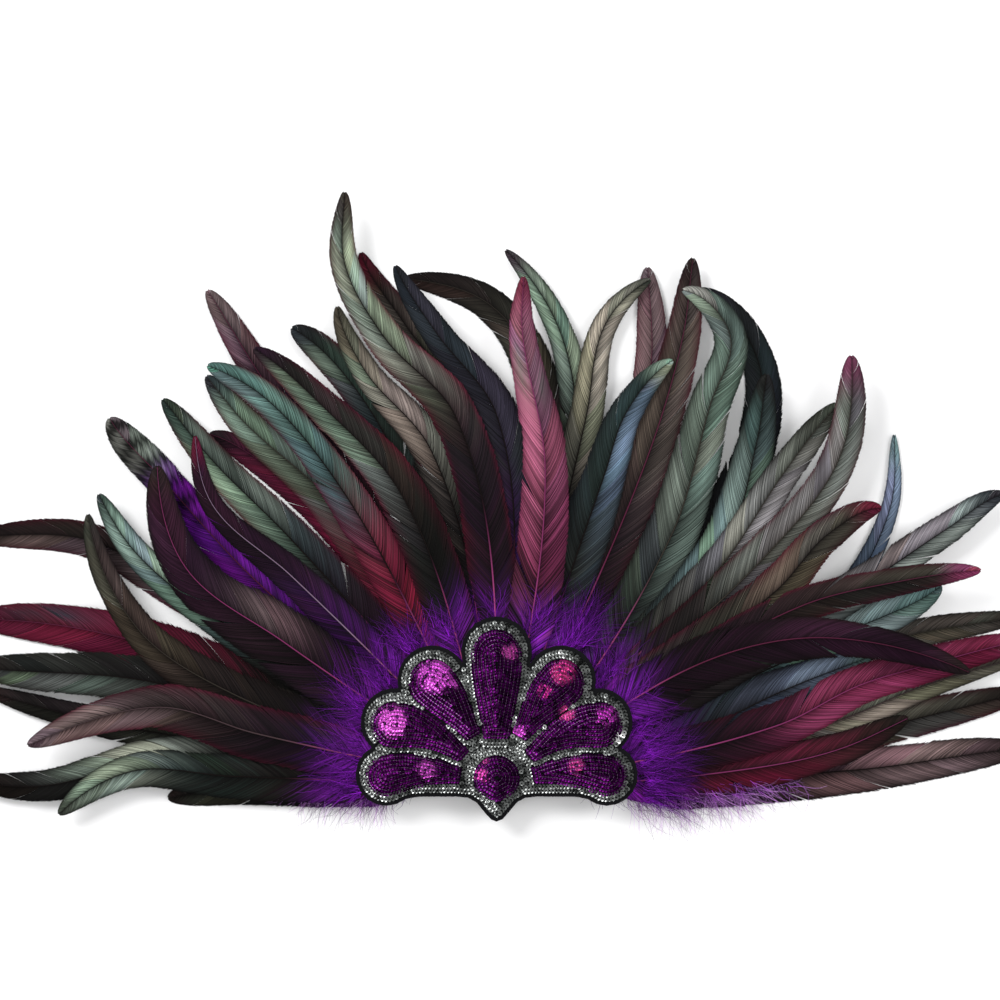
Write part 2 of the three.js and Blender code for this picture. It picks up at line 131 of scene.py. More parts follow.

# Colours of each feather: body, lower part, painted sheen, rim, tip and rachis. at and reach place the
# painted sheen along the feather, and side names the half it lies on: 1 left, -1 right, 0 both.
LOOK_COLUMNS = "body low gleam at reach side edge end rib".split()
LOOKS = {
    "left_01": ("dark", "plum", "olive", 0.85, 0.20, 0, "dark", "umber", "umber"),
    "left_02": ("dark", "umber", "sage", 0.62, 0.14, -1, "dark", "umber", "umber"),
    "left_03": ("green", "umber", "sage", 0.88, 0.13, 0, "dark", "olive", "umber"),
    "left_04": ("umber", "plum", "mauve", 0.90, 0.20, 0, "wine", "mauve", "mauve"),
    "left_05": ("dark", "plum", "moss", 0.80, 0.20, 1, "olive", "umber", "umber"),
    "left_06": ("dark", "plum", "olive", 0.60, 0.20, 0, "dark", "umber", "umber"),
    "left_07": ("wine", "umber", "slate", 0.88, 0.12, -1, "wine", "wine", "magenta"),
    "left_08": ("umber", "dark", "bronze", 0.82, 0.18, 0, "umber", "olive", "bronze"),
    "left_09": ("umber", "plum", "mauve", 0.70, 0.22, 1, "wine", "umber", "umber"),
    "left_10": ("green", "plum", "aqua", 0.86, 0.22, 0, "dark", "green", "umber"),
    "left_11": ("plum", "plum", "mauve", 0.55, 0.10, -1, "dark", "umber", "pink"),
    "left_12": ("purple", "purple", "violet", 0.70, 0.20, 0, "plum", "barred", "magenta"),
    "left_13": ("green", "plum", "moss", 0.82, 0.20, 0, "wine", "green", "umber"),
    "left_14": ("plum", "purple", "plum", 0.70, 0.20, 0, "dark", "wine", "lilac"),
    "left_15": ("plum", "claret", "claret", 0.60, 0.25, 0, "wine", "dark", "magenta"),
    "left_16": ("green", "claret", "teal", 0.86, 0.20, 0, "wine", "teal", "umber"),
    "left_17": ("olive", "claret", "moss", 0.84, 0.20, 0, "wine", "slate", "bronze"),
    "left_18": ("plum", "umber", "mauve", 0.95, 0.12, 0, "wine", "mauve", "magenta"),
    "left_19": ("umber", "dark", "moss", 0.78, 0.20, 1, "wine", "plum", "umber"),
    "left_20": ("green", "umber", "moss", 0.92, 0.10, 1, "wine", "slate", "umber"),
    "left_21": ("bronze", "umber", "beige", 0.80, 0.14, 0, "umber", "bronze", "umber"),
    "left_22": ("umber", "plum", "sage", 0.84, 0.15, 0, "wine", "umber", "umber"),
    "left_23": ("umber", "plum", "bronze", 0.80, 0.16, 0, "wine", "wine", "umber"),
    "left_24": ("slate", "purple", "slate", 0.60, 0.25, 0, "dark", "slate", "umber"),
    "left_25": ("umber", "mauve", "bronze", 0.70, 0.12, 0, "dark", "umber", "bronze"),
    "mid_01": ("rose", "magenta", "mauve", 0.80, 0.10, 0, "magenta", "wine", "pink"),
    "mid_02": ("green", "plum", "sage", 0.83, 0.18, 0, "dark", "plum", "umber"),
    "mid_03": ("olive", "umber", "beige", 0.84, 0.24, 0, "dark", "olive", "umber"),
    "mid_04": ("mauve", "umber", "mauve", 0.80, 0.30, 0, "wine", "mauve", "magenta"),
    "mid_05": ("umber", "plum", "bronze", 0.75, 0.25, 0, "wine", "umber", "magenta"),
    "mid_06": ("olive", "green", "moss", 0.72, 0.32, 0, "dark", "sage", "bronze"),
    "mid_07": ("green", "umber", "slate", 0.70, 0.25, 0, "dark", "slate", "umber"),
    "mid_08": ("green", "olive", "blue", 0.78, 0.22, -1, "slate", "sage", "umber"),
    "mid_09": ("green", "olive", "aqua", 0.64, 0.20, 0, "dark", "dark", "umber"),
    "mid_10": ("olive", "olive", "grey", 0.72, 0.18, 0, "umber", "olive", "bronze"),
    "right_01": ("bronze", "umber", "grey", 0.78, 0.30, 0, "wine", "magenta", "bronze"),
    "right_02": ("umber", "olive", "bronze", 0.75, 0.25, 0, "wine", "wine", "umber"),
    "right_03": ("blue", "slate", "blue", 0.80, 0.30, 0, "slate", "teal", "slate"),
    "right_04": ("slate", "umber", "grey", 0.80, 0.32, 0, "dark", "slate", "umber"),
    "right_05": ("umber", "plum", "bronze", 0.85, 0.15, 1, "wine", "magenta", "magenta"),
    "right_06": ("teal", "slate", "aqua", 0.82, 0.30, 0, "slate", "teal", "umber"),
    "right_07": ("olive", "plum", "bronze", 0.75, 0.30, 0, "umber", "umber", "bronze"),
    "right_08": ("plum", "plum", "plum", 0.82, 0.16, 0, "umber", "umber", "magenta"),
    "right_09": ("wine", "plum", "magenta", 0.66, 0.20, 0, "wine", "magenta", "pink"),
    "right_10": ("slate", "slate", "blue", 0.86, 0.20, 0, "dark", "teal", "umber"),
    "right_11": ("umber", "wine", "bronze", 0.70, 0.25, 0, "wine", "umber", "umber"),
    "right_12": ("umber", "plum", "mauve", 0.75, 0.20, 0, "dark", "umber", "umber"),
    "right_13": ("umber", "plum", "wine", 0.60, 0.22, 0, "dark", "umber", "pink"),
    "right_14": ("bronze", "wine", "beige", 0.70, 0.15, 0, "umber", "bronze", "mauve"),
}

# Shape of the feathers and of the stack, in millimetres
ROOT_RADIUS = 27.0
QUILL_WIDTH = 1.4
TIP_WIDTH = 1.2
RACHIS_THICKNESS = 0.7
LAY_CLEARANCE = 0.7
LAYER_PITCH_ROOT = 1.05
LAYER_PITCH_OUTER = 2.4
PITCH_GROWS = (100.0, 240.0)
FIRST_LAYER_ON_PAD = 2.3
FIRST_LAYER_OUTER = 0.3
PAD_CLEARED = (72.0, 220.0)
SPINE_STEPS = 40

# Barbs: each half of a vane is a row of locks, and each lock a sheet ribbed by its barbs
BARB_PITCH = 0.8
BARB_RIDGE = 0.08
VANE_START = 0.12
VANE_END = 0.997
LOCK_LENGTHS = (10.0, 55.0)
FRAY = 0.024
LOCK_PULL = 0.05
SPLIT_PULL = 0.16
SPLIT_ABOVE = 0.86
TIP_HOLDS = (0.65, 0.85)
LOWEST_BARB = 0.15
RACHIS_END = 0.995
RACHIS_POINTS = 56
RACHIS_SIDES = 6
PURPLE_FADES = (82.0, 130.0)
# radii over which the painted shade among the crowded lower feathers fades out
PAINTED_SHADE_LIFTS = (110.0, 225.0)
# share of the painted sheen that is left on the half of the vane it doesn't lie on
OFF_SIDE_PAINTED_SHEEN = 0.06
BARS_PER_SHARE = 120.0
DOWN_STARTS = (46.0, 104.0)
DOWN_STRANDS = 160
DOWN_LENGTHS = (8.0, 24.0)
DOWN_WIDTHS = (0.22, 0.46)
DOWN_TINT = (0.10, 0.005, 0.20)
STRAND_POINTS = 6
STATIONS = np.array([0.0, 0.2, 0.5, 0.8, 1.0])

# Seeds of the random draws
FEATHER_SEED = 100
DOWN_SEED = 7
FELT_SEED = 40
SEQUIN_SEED = 60


def smooth(start, stop, value):
    """A soft step from 0 at start to 1 at stop."""
    share = np.clip((value - start) / (stop - start), 0.0, 1.0)
    return share * share * (3.0 - 2.0 * share)


def heading(degrees):
    """A direction in plan."""
    return np.array([math.cos(math.radians(degrees)), math.sin(math.radians(degrees))])


def span(start, stop, leave, arrive):
    """A cubic curve between two points that leaves and arrives along given ways."""
    t = np.linspace(0.0, 1.0, SPINE_STEPS + 1)[:, None]
    return (
        (2 * t**3 - 3 * t**2 + 1) * start
        + (t**3 - 2 * t**2 + t) * leave
        + (3 * t**2 - 2 * t**3) * stop
        + (t**3 - t**2) * arrive
    )


def vane_share(share, hold):
    """Width of a vane at shares along its feather, as a share of its full width."""
    opening = smooth(0.06, 0.3, share)
    fuller = 1 + 0.35 * (1 - smooth(0.45, 0.85, share))
    close = np.clip((share - hold) / (1 - hold), 0.0, 1.0)
    return opening * fuller * np.sqrt(np.clip(1 - close**2.6, 0.0, 1.0))


def unit(way):
    """A way at length 1."""
    return way / np.linalg.norm(way)


class Feather:
    """The rachis of one feather in plan, with its width, its colours and its place in the stack."""

    def __init__(self, row):
        self.row = dict(zip(COLUMNS, row))
        self.look = dict(zip(LOOK_COLUMNS, LOOKS[self.row["name"]]))
        start = heading(self.row["root"]) * ROOT_RADIUS
        knots = np.array([tuple(start), *self.row["via"], self.row["tip"]], float)
        chords = np.diff(knots, axis=0)
        ways = [unit(unit(before) + unit(after)) for before, after in zip(chords[:-1], chords[1:])]
        ways = [heading(self.row["root"]), *ways, heading(self.row["head"])]
        path = [knots[:1]]
        for i, chord in enumerate(chords):
            reach = np.linalg.norm(chord)
            path.append(span(knots[i], knots[i + 1], ways[i] * reach, ways[i + 1] * reach)[1:])
        path = np.vstack(path)
        steps = np.linalg.norm(np.diff(path, axis=0), axis=1)
        along = np.concatenate([[0.0], np.cumsum(steps)])
        self.length = along[-1]
        self.shares = np.linspace(0.0, 1.0, 4 * SPINE_STEPS + 1)
        even = self.shares * self.length
        self.path = np.column_stack([np.interp(even, along, path[:, i]) for i in (0, 1)])
        tangent = np.gradient(self.path, axis=0)
        self.tangent = tangent / np.linalg.norm(tangent, axis=1)[:, None]
        share = vane_share(self.shares, self.row["hold"])
        self.half = 0.5 * np.maximum(QUILL_WIDTH, self.row["width"] * share)
        self.half[-1] = 0.5 * TIP_WIDTH
        self.layer = 0

    def half_at(self, share):
        return np.interp(share, self.shares, self.half)

    def point(self, share):
        return np.stack([np.interp(share, self.shares, self.path[:, i]) for i in (0, 1)], -1)

    def forward(self, share):
        way = np.stack([np.interp(share, self.shares, self.tangent[:, i]) for i in (0, 1)], -1)
        return way / np.linalg.norm(way, axis=-1, keepdims=True)

    def left(self, share):
        way = self.forward(share)
        return np.stack([-way[..., 1], way[..., 0]], -1)


def lay(feathers):
    """Each feather goes one layer above the highest of those that it crosses."""
    for i, feather in enumerate(feathers):
        for other in feathers[:i]:
            apart = np.linalg.norm(feather.path[::2, None] - other.path[None, ::2], axis=2)
            touching = apart < feather.half[::2, None] + other.half[None, ::2] + LAY_CLEARANCE
            if touching.any():
                feather.layer = max(feather.layer, other.layer + 1)


def layer_pitch(radius):
    """Distance between two layers, which grows away from the middle of the fan."""
    grown = smooth(*PITCH_GROWS, radius)
    return LAYER_PITCH_ROOT + (LAYER_PITCH_OUTER - LAYER_PITCH_ROOT) * grown


def layer_height(layer, plan):
    """Height of the middle of a layer at points in plan."""
    radius = np.linalg.norm(plan, axis=-1)
    away = smooth(*PAD_CLEARED, radius)
    first = FIRST_LAYER_ON_PAD + (FIRST_LAYER_OUTER - FIRST_LAYER_ON_PAD) * away
    return first + layer * layer_pitch(radius) + RACHIS_THICKNESS / 2


class Build:
    """Points, four-sided faces, colours and map places of a piece that is gathered from many parts."""

    def __init__(self):
        self.points = []
        self.quads = []
        self.tints = []
        self.places = []
        self.barbs = []
        self.count = 0

    def grid(self, points, tints, places, closed=False, barb=0.0):
        """Adds grids of points shaped (number, rows, columns, 3); closed ones join last column to first."""
        number, rows, columns = points.shape[:3]
        index = np.arange(number * rows * columns).reshape(number, rows, columns) + self.count
        if closed:
            index = np.concatenate([index, index[:, :, :1]], axis=2)
        corners = (index[:, :-1, :-1], index[:, :-1, 1:], index[:, 1:, 1:], index[:, 1:, :-1])
        self.quads.append(np.stack(corners, -1).reshape(-1, 4))
        self.points.append(points.reshape(-1, 3))
        self.tints.append(np.broadcast_to(tints, points.shape).reshape(-1, 3))
        self.places.append(np.broadcast_to(places, points.shape[:3] + (2,)).reshape(-1, 2))
        self.barbs.append(np.broadcast_to(barb, points.shape[:3]).ravel())
        self.count += number * rows * columns

    def piece(self, name, material):
        """Makes an object from what was gathered."""
        points = np.concatenate(self.points) * MM
        quads = np.concatenate(self.quads)
        mesh = bpy.data.meshes.new(name)
        mesh.vertices.add(len(points))
        mesh.vertices.foreach_set("co", points.astype(np.float32).ravel())
        mesh.loops.add(quads.size)
        mesh.loops.foreach_set("vertex_index", quads.astype(np.int32).ravel())
        mesh.polygons.add(len(quads))
        mesh.polygons.foreach_set("loop_start", np.arange(0, quads.size, 4, dtype=np.int32))
        mesh.polygons.foreach_set("use_smooth", np.ones(len(quads), bool))
        mesh.update(calc_edges=True)
        tint = mesh.color_attributes.new("tint", "FLOAT_COLOR", "POINT")
        colours = np.concatenate(self.tints)
        solid = np.column_stack([colours, np.ones(len(colours))])
        tint.data.foreach_set("color", solid.astype(np.float32).ravel())
        barb = mesh.attributes.new("barb", "FLOAT", "POINT")
        barb.data.foreach_set("value", np.concatenate(self.barbs).astype(np.float32))
        layer = mesh.uv_layers.new(name="OFBake")
        places = np.clip(np.concatenate(self.places), 0.0, 1.0)
        layer.data.foreach_set("uv", places[quads.ravel()].astype(np.float32).ravel())
        mesh.materials.append(material)
        piece = bpy.data.objects.new(name, mesh)
        bpy.context.scene.collection.objects.link(piece)
        return piece


def settle(piece, slot, *nodes):
    """Says what a piece rides on and the nodes that it replaces; its slot is not used."""
    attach(piece, "root")
    if nodes:
        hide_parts(*nodes)


def drift(rng, count, reach):
    """A slow random run of numbers from 0 to 1."""
    raw = rng.normal(size=count + 4 * reach)
    window = np.hanning(2 * reach + 1)
    slow = np.convolve(raw, window / np.linalg.norm(window), mode="same")[2 * reach:2 * reach + count]
    return smooth(-1.4, 1.4, slow)


def mix(one, two, share):
    """Blends two colours by an array of shares."""
    return one + (two - one) * share[..., None]


def lock_bounds(rng, length):
    """Shares of the length at which one lock of barbs ends and the next begins."""
    bounds = [VANE_START]
    while bounds[-1] < VANE_END:
        bounds.append(min(VANE_END, bounds[-1] + rng.uniform(*LOCK_LENGTHS) / length))
    return bounds


def vane_colours(look, side, share, across, radius, streak, fine):
    """Colours at shares along and across one half of a vane, with its painted sheen; streak and fine are slow
    and quick noise.
    """
    colour = {key: np.array(PALETTE[look[key]]) for key in ("body", "low", "gleam", "edge")}
    on_side = 1.0 if look["side"] in (0, side) else OFF_SIDE_PAINTED_SHEEN
    # painted sheen: a pale highlight band along the feather, strongest mid-way across the half-vane
    painted_sheen_share = np.exp(-(((share - look["at"]) / look["reach"]) ** 2)) * on_side
    arch = np.sin(math.pi * np.clip(across, 0.0, 1.0)) ** 0.8
    painted_sheen_share = painted_sheen_share * (0.38 + 0.34 * smooth(0.2, 0.8, streak) + 0.18 * fine) * (0.4 + 0.9 * arch)
    low = mix(np.array(PALETTE["dark"]), colour["low"], 0.3 + 0.7 * smooth(0.3, 0.7, fine))
    tints = mix(low, colour["body"], smooth(0.36, 0.68, share + 0.18 * (fine - 0.5)))
    tints = mix(tints, colour["gleam"], np.clip(1.15 * painted_sheen_share, 0.0, 1.1))
    tints = mix(tints, colour["edge"], 0.75 * smooth(0.72, 1.0, across))
    if look["end"] == "barred":
        bars = smooth(-0.3, 0.3, np.sin(BARS_PER_SHARE * (share + 0.015 * across)))
        light = mix(np.array(PALETTE["violet"]), np.array(PALETTE["grey"]) * 0.7, smooth(0.80, 0.90, share))
        end = light * (0.12 + 0.88 * bars[..., None])
        tints = mix(tints, end, smooth(0.68, 0.74, share))
    else:
        tints = mix(tints, np.array(PALETTE[look["end"]]), 0.85 * smooth(0.90, 0.985, share))
    base = mix(np.array(PALETTE["plum"]), 1.9 * np.array(PALETTE["violet"]), smooth(0.2, 0.75, fine))
    uneven = radius + 24.0 * (streak - 0.5) + 34.0 * (fine - 0.5)
    return mix(tints, base, 1.0 - smooth(*PURPLE_FADES, uneven))


def add_vane(build, feather, side, rng, twist):
    """One half of a vane, lock by lock; every second line of a lock is the ridge of a barb."""
    bounds = lock_bounds(rng, feather.length)
    total = int(feather.length / BARB_PITCH) + 8
    slow = 0.35 * drift(rng, total, 2) + 0.65 * drift(rng, total, 40)
    quick = 0.5 * drift(rng, total, 1) + 0.5 * drift(rng, total, 6)
    patches = 0.74 + 0.45 * drift(rng, total, 40)
    # painted light: one half of the vane is made lighter or darker than the other
    painted_half_light = rng.uniform(0.75, 1.2)
    number = rng.uniform(500.0, 5000.0)
    for first, last in zip(bounds[:-1], bounds[1:]):
        barbs = max(2, round((last - first) * feather.length / BARB_PITCH))
        start = np.linspace(first, last, 2 * barbs + 1)
        order = np.clip((start * feather.length / BARB_PITCH).astype(int), 0, total - 1)
        loose = 1 - 0.85 * smooth(*TIP_HOLDS, last)
        pull = (rng.uniform(0.0, LOCK_PULL) + SPLIT_PULL * (rng.uniform() > SPLIT_ABOVE)) * loose
        fray = rng.normal(0.0, FRAY, 2 * barbs + 1)
        reach = 1.0 + rng.uniform(-0.10, 0.01) * loose + fray
        slant = 1.25 + 0.9 * start
        run = feather.half_at(start) * slant / feather.length
        run = run * (1 - np.exp(-(1 - start) / np.maximum(run, 1e-4)))
        out = STATIONS[:, None] * reach
        share = start + run * out**1.2 + (0.5 * (first + last) - start) * pull * out**2
        share = np.clip(share, 0.0, 1.0)
        plan = feather.point(share) + feather.left(share) * (side * out * feather.half_at(share))[..., None]
        radius = np.linalg.norm(plan, axis=-1)
        room = layer_pitch(radius)
        rise = -0.55 * room * out**1.6 + room * rng.normal(0.0, 0.10) * out**2
        rise = rise + 0.32 * room * side * out * np.sin(twist[0] + twist[1] * share)
        ridge = np.arange(2 * barbs + 1) % 2
        lean = BARB_RIDGE * (ridge - 0.5) * smooth(0.0, 0.15, out)
        height = np.maximum(layer_height(feather.layer, plan) + rise + lean, LOWEST_BARB)
        points = np.concatenate([plan, height[..., None]], -1)
        streak = np.clip(slow[order] + 0.12 * np.sin(6 * out + 5 * slow[order]), 0.0, 1.0)
        # random tone per barb and lock, times painted light and shade: each barb's ridge lighter and its
        # valley darker
        tone_and_painted_light = np.repeat(rng.uniform(0.72, 1.28, barbs + 1), 2)[:2 * barbs + 1]
        tone_and_painted_light = tone_and_painted_light * np.where(ridge == 1, 1.12, 0.8) * patches[order]
        tone_and_painted_light = tone_and_painted_light * painted_half_light * rng.uniform(0.74, 1.22) * (0.84 + 0.32 * quick[order])
        # painted sheen: brighter in the middle of each half-vane, darker by the rachis and the rim
        painted_sheen_across = 0.5 + 0.75 * np.sin(math.pi * np.clip(out, 0.0, 1.0)) ** 0.7
        fine = np.broadcast_to(quick[order], share.shape)
        tints = vane_colours(feather.look, side, share, out, radius, streak, fine)
        # painted shade: the colours are darker where the lower feathers crowd, between the purple base and
        # the open fan
        depth = 0.5 + 0.5 * np.maximum(smooth(*PAINTED_SHADE_LIFTS, radius), 1 - smooth(*PURPLE_FADES, radius))
        tints = tints * (tone_and_painted_light * painted_sheen_across * depth)[..., None] * rng.normal(1.0, 0.07, 3)
        places = np.stack([0.5 + 0.46 * side * out, share], -1)
        barb = number + side * start * feather.length
        if side < 0:
            points, tints, places, barb = points[:, ::-1], tints[:, ::-1], places[:, ::-1], barb[::-1]
        build.grid(points[None], tints[None], places[None], barb=barb)


def add_rachis(build, feather):
    """The shaft of a feather: a six-sided tube that thins towards the tip."""
    share = np.linspace(0.0, RACHIS_END, RACHIS_POINTS)
    radius = 0.5 * (1 - share) ** 0.9 + 0.1
    plan = feather.point(share)
    across = feather.left(share)
    turn = np.linspace(0.0, 2 * math.pi, RACHIS_SIDES, endpoint=False)
    spread = plan[:, None] + across[:, None] * (np.cos(turn) * radius[:, None])[..., None]
    height = layer_height(feather.layer, plan)[:, None] + 0.12 + np.sin(turn) * radius[:, None] * 0.8
    points = np.concatenate([spread, height[..., None]], -1)[None]
    quill = np.array(PALETTE["pink"])
    rib = 0.5 * np.array(PALETTE[feather.look["rib"]])
    tints = mix(quill, rib, smooth(0.18, 0.42, share))
    places = np.stack([np.full_like(share, 0.985), share], -1)
    build.grid(points, tints[None, :, None], places[None, :, None], closed=True)


def strand_grid(start, angle, length, curl, wave, width, height, rise):
    """Fine ribbons that start at points in plan and bend as they run."""
    t = np.linspace(0.0, 1.0, STRAND_POINTS)
    bend = angle[:, None] + curl[:, None] * t + wave[:, None] * np.sin(6.0 * t + 9.0 * wave[:, None])
    step = (length / (len(t) - 1))[:, None]
    plan = np.stack([np.cumsum(np.cos(bend) * step, 1), np.cumsum(np.sin(bend) * step, 1)], -1)
    plan = plan - plan[:, :1] + start[:, None]
    across = np.stack([-np.sin(bend), np.cos(bend)], -1)
    broad = width[:, None] * (1.0 - 0.75 * t)
    spread = plan[:, :, None] + across[:, :, None] * (np.array([-0.5, 0.5]) * broad[..., None])[..., None]
    level = height[:, None] + rise[:, None] * t
    level = np.broadcast_to(level[..., None], spread.shape[:3])
    return np.concatenate([spread, level[..., None]], -1)


def add_down(build, feather, rng, count):
    """Loose barbs on both sides of the lowest part of a feather."""
    share = (rng.uniform(*DOWN_STARTS, count) - ROOT_RADIUS) / feather.length
    side = rng.choice([-1.0, 1.0], count)
    way = feather.forward(share)
    angle = np.arctan2(way[:, 1], way[:, 0]) + side * np.radians(rng.uniform(10, 70, count))
    length = rng.uniform(*DOWN_LENGTHS, count)
    curl = rng.normal(0.0, 0.8, count) - 0.5 * side
    wave = rng.normal(0.0, 0.3, count)
    start = feather.point(share)
    height = layer_height(feather.layer, start) + rng.uniform(-0.1, 0.4, count)
    rise = rng.uniform(-0.6, 2.2, count)
    points = strand_grid(start, angle, length, curl, wave, rng.uniform(*DOWN_WIDTHS, count), height, rise)
    bright = rng.uniform(0.15, 1.5, count)[:, None] ** 1.3
    tints = np.array(DOWN_TINT) * bright
    places = rng.uniform(0.02, 0.98, (count, 1, 1, 2))
    build.grid(points, tints[:, None, None], places)


# Down that shows round the palmette, and wisps that hang out under the fan: the middle and the half length
# of the line the strands leave from, the direction of that line, then the strands' heading, its spread,
# their length and number
DOWN_COLUMNS = "x y half line heading spread length count".split()
TUFTS = [
    (-88, 2, 8, 100, 184, 24, 30, 220),
    (-84, 22, 8, 110, 166, 22, 26, 170),
    (-80, 42, 9, 120, 152, 20, 34, 420),
    (-70, 60, 8, 135, 140, 22, 26, 220),
    (-50, 80, 7, 150, 126, 22, 26, 240),
    (-32, 92, 6, 150, 116, 22, 20, 90),
    (24, 96, 8, 30, 78, 20, 28, 200),
    (44, 84, 10, 35, 62, 24, 36, 480),
    (64, 66, 8, 45, 44, 24, 28, 220),
    (84, 36, 8, 70, 22, 24, 24, 130),
    (88, 16, 9, 80, 8, 20, 36, 360),
    (90, -2, 8, 80, -6, 22, 34, 240),
]
WISPS = [
    (-94, -3, 24, 0, 236, 26, 22, 260),
    (-74, -6, 10, 0, 258, 20, 24, 70),
    (112, -6, 34, 6, 312, 26, 26, 380),
    (150, -2, 26, 8, 326, 22, 22, 130),
]
TUFT_LIFT = (6.0, 12.5)
WISP_LIFT = (2.0, 7.0)
TUFT_WIDTHS = (0.14, 0.30)
TUFT_TINT = (0.24, 0.010, 0.50)
TUFT_TIP = (0.035, 0.003, 0.060)
WISP_TINT = (0.26, 0.03, 0.40)
WISP_TIP = (0.66, 0.36, 0.76)


def add_strands(build, row, lift, tint, tip, rng):
    """The strands of one tuft or wisp, tinted from their start to their tip."""
    tuft = dict(zip(DOWN_COLUMNS, row))
    count = tuft["count"]
    along = rng.uniform(-1, 1, (count, 1)) * tuft["half"] * heading(tuft["line"])
    start = np.array([tuft["x"], tuft["y"]]) + along + rng.uniform(-4, 4, (count, 2))
    angle = np.radians(tuft["heading"] + rng.normal(0, 0.9, count) * tuft["spread"])
    length = tuft["length"] * rng.uniform(0.35, 1.2, count)
    curl = rng.normal(0.0, 0.5, count)
    wave = rng.normal(0.0, 0.3, count)
    height = rng.uniform(*lift, count)
    rise = rng.uniform(-1.5, 1.0, count)
    rise = np.maximum(rise, 0.6 - height)
    points = strand_grid(start, angle, length, curl, wave, rng.uniform(*TUFT_WIDTHS, count), height, rise)
    clump = 0.75 + 0.5 * np.sin(0.42 * start[:, 0] + 1.7) * np.sin(0.37 * start[:, 1])
    bright = (clump * rng.uniform(0.1, 1.35, count) ** 1.4)[:, None]
    places = rng.uniform(0.02, 0.98, (count, 1, 1, 2))
    run = np.linspace(0.0, 1.0, points.shape[1])
    colours = mix(np.array(tint), np.array(tip), run) * bright[:, None]
    build.grid(points, colours[:, :, None], places)


def signed_area(points):
    """Area within an outline, negative if the outline runs clockwise."""
    following = np.roll(points, -1, axis=0)
    return 0.5 * np.sum(points[:, 0] * following[:, 1] - following[:, 0] * points[:, 1])


def outline_of(node):
    """The rim of the underside of a plate node in plan, counter-clockwise, in millimetres."""
    mesh = bmesh.new()
    mesh.from_mesh(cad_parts[node].data)
    bmesh.ops.remove_doubles(mesh, verts=mesh.verts, dist=1e-5)
    under = {face for face in mesh.faces if face.normal.z < -0.9}
    rim = [edge for edge in mesh.edges if sum(face in under for face in edge.link_faces) == 1]
    neighbours = {}
    for edge in rim:
        one, two = edge.verts
        neighbours.setdefault(one, []).append(two)
        neighbours.setdefault(two, []).append(one)
    chain = [rim[0].verts[0]]
    chain.append(neighbours[chain[0]][0])
    while True:
        onward = [vert for vert in neighbours[chain[-1]] if vert is not chain[-2]]
        if onward[0] is chain[0]:
            break
        chain.append(onward[0])
    points = np.array([vert.co[:2] for vert in chain]) / MM
    mesh.free()
    return points if signed_area(points) > 0 else points[::-1]


def resample(points, step):
    """A closed outline as evenly spaced points."""
    closed = np.vstack([points, points[:1]])
    along = np.concatenate([[0.0], np.cumsum(np.linalg.norm(np.diff(closed, axis=0), axis=1))])
    even = np.linspace(0.0, along[-1], max(8, int(along[-1] / step)), endpoint=False)
    return np.column_stack([np.interp(even, along, closed[:, i]) for i in (0, 1)])


def inward(points):
    """Directions along a counter-clockwise outline, and those towards its inside."""
    way = np.roll(points, -1, axis=0) - np.roll(points, 1, axis=0)
    way = way / np.maximum(np.linalg.norm(way, axis=1, keepdims=True), 1e-6)
    return way, np.column_stack([-way[:, 1], way[:, 0]])


def row_inside(outline, distance, pitch):
    """Places and directions along a line inside an outline, or outside it if the distance is negative."""
    fine = resample(outline, 0.35)
    way, normal = inward(fine)
    moved = fine + normal * distance
    apart = np.linalg.norm(moved[:, None] - fine[None], axis=2).min(axis=1)
    kept = apart > abs(distance) - 0.12
    places = []
    for i in range(len(moved)):
        if not kept[i]:
            continue
        if places and np.linalg.norm(np.array(places)[:, :2] - moved[i], axis=1).min() < pitch * 0.93:
            continue
        places.append((*moved[i], *way[i]))
    return np.array(places).reshape(-1, 4)


def inside_any(places, outlines):
    """Which places lie inside one of the outlines, by counting the edges to their right."""
    found = np.zeros(len(places), bool)
    for outline in outlines:
        one = outline[None]
        two = np.roll(outline, -1, axis=0)[None]
        x, y = places[:, None, 0], places[:, None, 1]
        spans = (one[..., 1] > y) != (two[..., 1] > y)
        rise = np.where(spans, two[..., 1] - one[..., 1], 1.0)
        meets = one[..., 0] + (y - one[..., 1]) * (two[..., 0] - one[..., 0]) / rise
        found |= (spans & (meets > x)).sum(axis=1) % 2 == 1
    return found


def nearest(places, points):
    """Distance from each place to the nearest of the points."""
    return np.linalg.norm(places[:, None, :2] - points[None, :, :2], axis=2).min(axis=1)


# Sequins: cupped discs with a hole, sewn in rows that overlap
SEQUIN_RADIUS = 1.5
SEQUIN_HOLE = 0.5
SEQUIN_CUP = 0.26
SEQUIN_SIDES = 12
SEQUIN_PITCH = 1.75
TRIM_PITCH = 2.15
FIRST_ROW = 1.35
ROW_PITCH = 2.3
SEQUIN_LIFT = 0.78
PURPLE_TINT = (0.060, 0.003, 0.072)
SILVER_TINT = (0.19, 0.20, 0.195)
THREAD_LIFT = 0.30
THREAD_LENGTH = 1.5
THREAD_WIDTH = 0.36
THREAD_TINT = (0.20, 0.11, 0.22)

# Rows of the trim: inside the edge of the felt and beside the petals, then the least distances of a sequin
# from the others, from the petals and from the edge
TRIM_ROWS = (3.8, 6.1)
BESIDE_PETALS = (1.7, 3.9, 6.1, 1.3, 1.0)
TRIM_APART = 1.75
PETAL_CLEAR = 0.9
EDGE_CLEAR = 3.4


